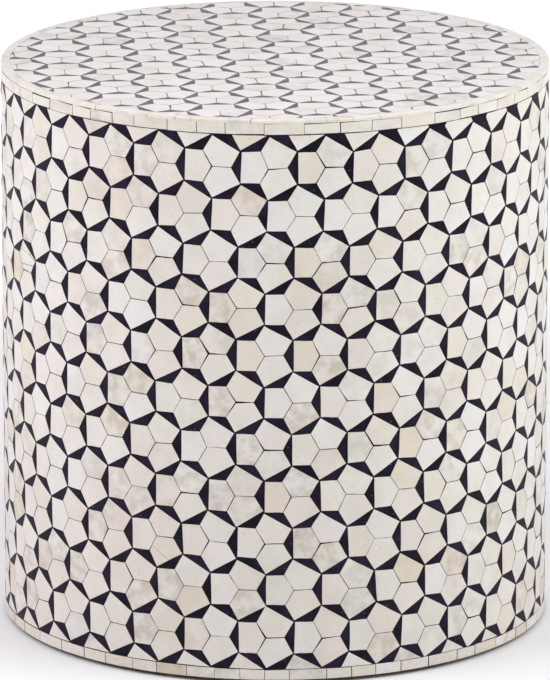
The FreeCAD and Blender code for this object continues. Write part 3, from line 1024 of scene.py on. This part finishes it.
# %% Floor and sky
FLOOR_HALF = 9
FLOOR_WHITE = (0.90, 0.90, 0.90, 1)
FLOOR_ROUGH = 0.8
NEAR_SKY = (1, 0.99, 0.975, 1)
FAR_SKY = (0.96, 0.90, 1.0, 1)
FAR_RANGE = (-0.2, 0.9)
DARKEST_AT = -1
BRIGHTEST_AT = 0.6
SKY_BRIGHT = 0.80

floor = bmesh.new()
bmesh.ops.create_grid(floor, x_segments=1, y_segments=1, size=FLOOR_HALF)
floor_mesh = bpy.data.meshes.new("floor")
floor.to_mesh(floor_mesh)
floor.free()
floor_object = bpy.data.objects.new("floor", floor_mesh)
bpy.context.scene.collection.objects.link(floor_object)
floor_material = bpy.data.materials.new("pale_floor")
floor_material.use_nodes = True
floor_shader = floor_material.node_tree.nodes["Principled BSDF"]
floor_shader.inputs["Base Color"].default_value = FLOOR_WHITE
floor_shader.inputs["Roughness"].default_value = FLOOR_ROUGH
floor_mesh.materials.append(floor_material)

world = bpy.data.worlds.new("studio")
world.use_nodes = True
sky = world.node_tree
towards = add_node(sky, "ShaderNodeSeparateXYZ")
feed(sky, towards.inputs[0], add_node(sky, "ShaderNodeTexCoord").outputs["Generated"])
backward = towards.outputs[1]
brightness = add_node(sky, "ShaderNodeMapRange")
feed(sky, brightness.inputs["Value"], backward)
feed(sky, brightness.inputs["From Min"], DARKEST_AT)
feed(sky, brightness.inputs["From Max"], BRIGHTEST_AT)
feed(sky, brightness.inputs["To Min"], 0)
feed(sky, brightness.inputs["To Max"], SKY_BRIGHT)
background = sky.nodes["Background"]
feed(sky, background.inputs["Strength"], brightness.outputs["Result"])
feed(sky, background.inputs["Color"], blend(sky, ramp(sky, backward, *FAR_RANGE), NEAR_SKY, FAR_SKY))
bpy.context.scene.world = world
print("floor", 2 * FLOOR_HALF, "m wide, sky up to", SKY_BRIGHT)

# %% [markdown]
# The photograph is brighter towards the drum's left and right edges than in the middle, so large soft
# lights at both sides lead. A weak warm one in front fills the middle, and one behind brightens the
# floor. Small lights would throw hard shadows that the photograph doesn't have.


# %% Lights
ROSY = (0.935, 0.928, 1)
COOL = (0.932, 0.976, 1)
WARM = (1, 0.95, 0.86)
PLAIN = (1, 1, 1)
DRUM_MIDDLE = (0, 0, 0.45)
FLOOR_BEHIND = (0, 4.0, 0)


def soft_light(name, place, aim, wide, high, power, colour):
    light = bpy.data.lights.new(name, "AREA")
    light.shape = "RECTANGLE"
    light.size = wide
    light.size_y = high
    light.energy = power
    light.color = colour
    lamp = bpy.data.objects.new(name, light)
    lamp.location = place
    lamp.rotation_euler = (Vector(aim) - Vector(place)).to_track_quat("-Z", "Y").to_euler()
    lamp.visible_camera = False
    bpy.context.scene.collection.objects.link(lamp)


soft_light("left_light", (-1.6, -0.85, 1.6), DRUM_MIDDLE, wide=1.4, high=1.4, power=25.5, colour=ROSY)
soft_light("right_light", (1.6, -0.85, 1.6), DRUM_MIDDLE, wide=1.4, high=1.4, power=27.5, colour=COOL)
soft_light("left_edge_light", (-1.9, -0.35, 1.5), DRUM_MIDDLE, wide=1.2, high=1.4, power=5.6, colour=ROSY)
soft_light("right_edge_light", (1.9, -0.35, 1.5), DRUM_MIDDLE, wide=1.2, high=1.4, power=4.3, colour=COOL)
soft_light("front_light", (0, -0.75, 1.0), DRUM_MIDDLE, wide=0.8, high=0.3, power=1.2, colour=WARM)
soft_light("floor_light", (0, 1.6, 1.5), FLOOR_BEHIND, wide=5.0, high=2.0, power=60, colour=PLAIN)
print("lights", len(bpy.data.lights))

# %% [markdown]
# The camera stands far off with a long lens, because the drum's sides hardly draw together in the
# photograph. Its distance, height and tilt were fitted to the drum's outline, and the first two are
# counted in radii of the drum.

# %% Camera
PHOTO_HIGH = 680
FOCAL_PIXELS = 7704.26
SENSOR_HIGH = 36
CAMERA_BACK = 27.401 * RADIUS
CAMERA_UP = 8.189 * RADIUS + BASE
CAMERA_TILT = math.radians(90 - 14.705)
FARTHEST = 100
camera = bpy.data.cameras.new("camera")
camera.sensor_fit = "VERTICAL"
camera.sensor_height = SENSOR_HIGH
camera.lens = FOCAL_PIXELS * SENSOR_HIGH / PHOTO_HIGH
camera.clip_end = FARTHEST
viewer = bpy.data.objects.new("camera", camera)
viewer.location = (0, -CAMERA_BACK, CAMERA_UP)
viewer.rotation_euler = (CAMERA_TILT, 0, 0)
bpy.context.scene.collection.objects.link(viewer)
bpy.context.scene.camera = viewer
bpy.context.scene.view_settings.view_transform = "Standard"
print("camera", round(CAMERA_BACK, 3), "m back, lens", round(camera.lens, 1), "mm")
